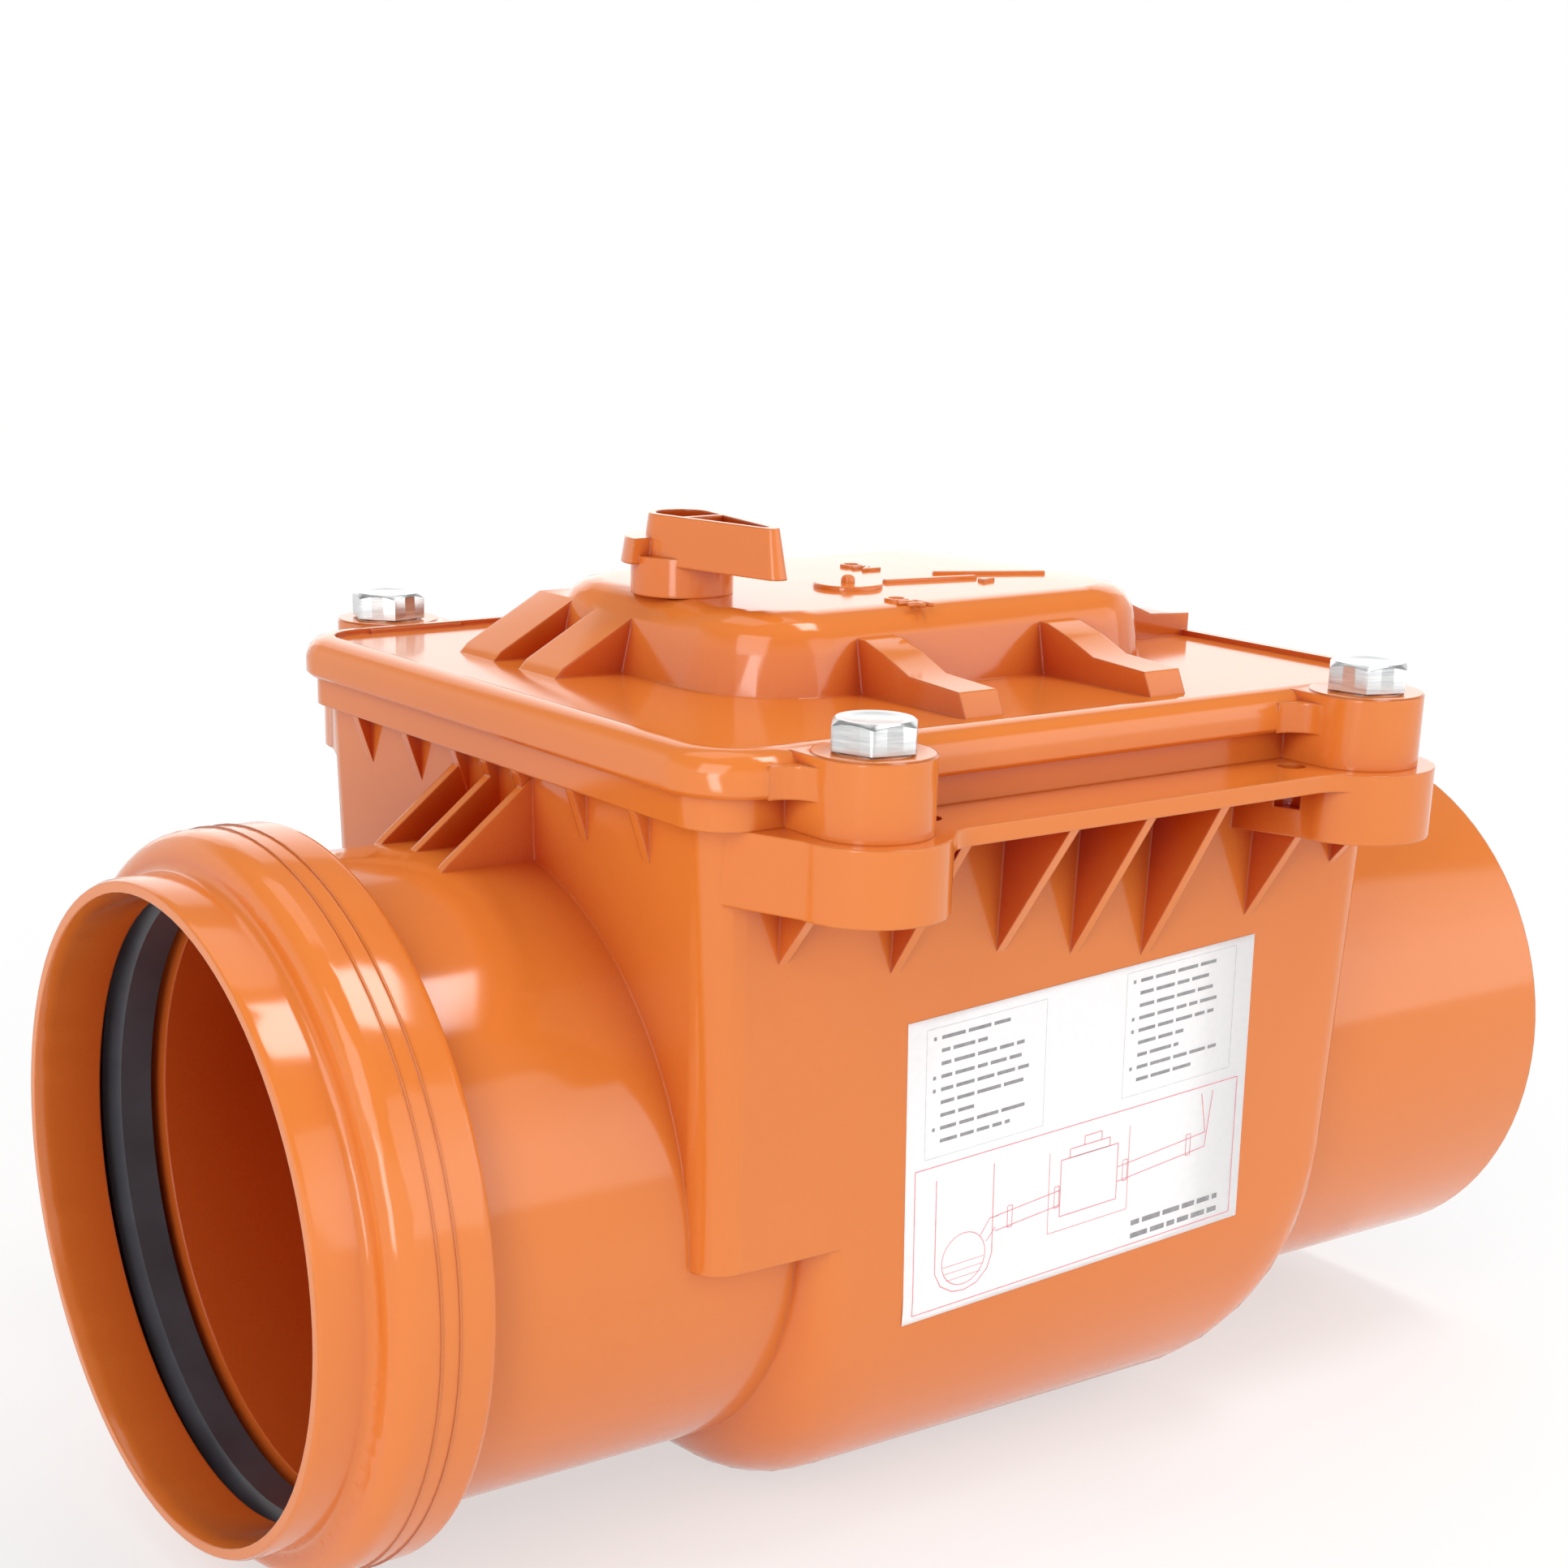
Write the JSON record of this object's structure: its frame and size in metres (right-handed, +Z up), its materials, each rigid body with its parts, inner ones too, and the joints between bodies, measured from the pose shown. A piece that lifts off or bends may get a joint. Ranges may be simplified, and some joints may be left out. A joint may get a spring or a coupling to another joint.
{
  "type": "backwater valve",
  "caption": "Orange plastic drain backwater valve with a hanging flap, a bolted access cover and a quarter-turn lock handle.",
  "frame": {"origin": "centre of the flat strip under the chamber, midway between the four bolts", "axes": "+X with the flow from the socket to the spigot, +Z up towards the cover, +Y to the side away from the label"},
  "size_m": [0.417, 0.264, 0.2595],
  "materials": {
    "orange_plastic": "glossy moulded",
    "inner_plastic": "glossy moulded",
    "red_plastic": "satin moulded",
    "black_rubber": "smooth",
    "brass": "turned",
    "zinc_steel": "zinc plated",
    "stainless_steel": "fine brushed"
  },
  "bodies": {
    "body": {"valve_body": "orange_plastic", "threaded_inserts": "brass", "socket_seal": "black_rubber", "hinge_block": "inner_plastic", "hinge_pin": "stainless_steel"},
    "arm": {"flap_arm": "inner_plastic", "flap_stud": "stainless_steel"},
    "flap": {"flap_carrier": "red_plastic", "flap_plate": "stainless_steel", "flap_seal": "black_rubber"},
    "cover": {"cover": "orange_plastic", "cover_gasket": "black_rubber"},
    "handle": {"handle": "orange_plastic", "spindle_o_ring": "black_rubber", "spindle_clip": "stainless_steel", "lock_finger": "inner_plastic", "lock_screw": "stainless_steel"},
    "bolt_1": {"cover_bolt_1": "zinc_steel"},
    "bolt_2": {"cover_bolt_2": "zinc_steel"},
    "bolt_3": {"cover_bolt_3": "zinc_steel"},
    "bolt_4": {"cover_bolt_4": "zinc_steel"}
  },
  "joints": [
    {"name": "flap_hinge", "type": "hinge", "parent": "body", "child": "arm", "pos_m": [-0.095, 0, 0.185], "axis": [0, -1, 0], "range_deg": [0, 28]},
    {"name": "flap_spin", "type": "hinge", "parent": "arm", "child": "flap", "pos_m": [-0.066, 0, 0.096], "axis": [1, 0, 0], "continuous": true},
    {"name": "cover_lift", "type": "slide", "parent": "body", "child": "cover", "axis": [0, 0, 1], "range_m": [0, 0.08]},
    {"name": "handle_turn", "type": "hinge", "parent": "cover", "child": "handle", "pos_m": [-0.05, 0.007, 0.23], "axis": [0, 0, -1], "range_deg": [-90, 0]},
    {"name": "bolt_1_turn", "type": "hinge", "parent": "cover", "child": "bolt_1", "pos_m": [-0.08, -0.113, 0.21], "axis": [0, 0, 1], "continuous": true},
    {"name": "bolt_2_turn", "type": "hinge", "parent": "cover", "child": "bolt_2", "pos_m": [0.08, -0.113, 0.21], "axis": [0, 0, 1], "continuous": true},
    {"name": "bolt_3_turn", "type": "hinge", "parent": "cover", "child": "bolt_3", "pos_m": [0.08, 0.113, 0.21], "axis": [0, 0, 1], "continuous": true},
    {"name": "bolt_4_turn", "type": "hinge", "parent": "cover", "child": "bolt_4", "pos_m": [-0.08, 0.113, 0.21], "axis": [0, 0, 1], "continuous": true}
  ]
}
